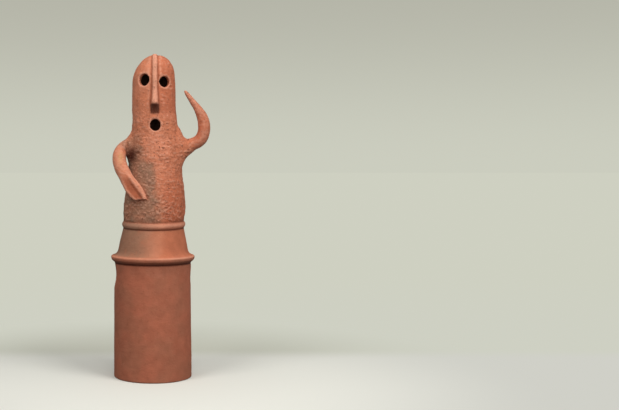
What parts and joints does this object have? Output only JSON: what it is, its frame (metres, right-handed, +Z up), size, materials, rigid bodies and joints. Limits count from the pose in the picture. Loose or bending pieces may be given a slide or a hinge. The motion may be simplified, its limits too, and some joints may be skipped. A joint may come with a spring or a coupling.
{
  "type": "haniwa figure",
  "caption": "Hollow fired-clay figure: a banded cylinder with a domed head, pierced eyes and mouth, one arm raised beside the head and one laid across the belly.",
  "frame": {"origin": "middle of the figure's own box, on the ground under its open foot", "axes": "+Z up; the figure faces -Y; +X is to the right of someone facing it, the side of the raised arm. The cylinder's axis stands at x = -0.015."},
  "size_m": [0.1976, 0.1674, 0.6407],
  "materials": {
    "terracotta": "unglazed fired clay, matt, orange-red, rough and pitted above the belt, smooth below it"
  },
  "bodies": {
    "root": {"haniwa_figure": "terracotta"}
  },
  "joints": []
}
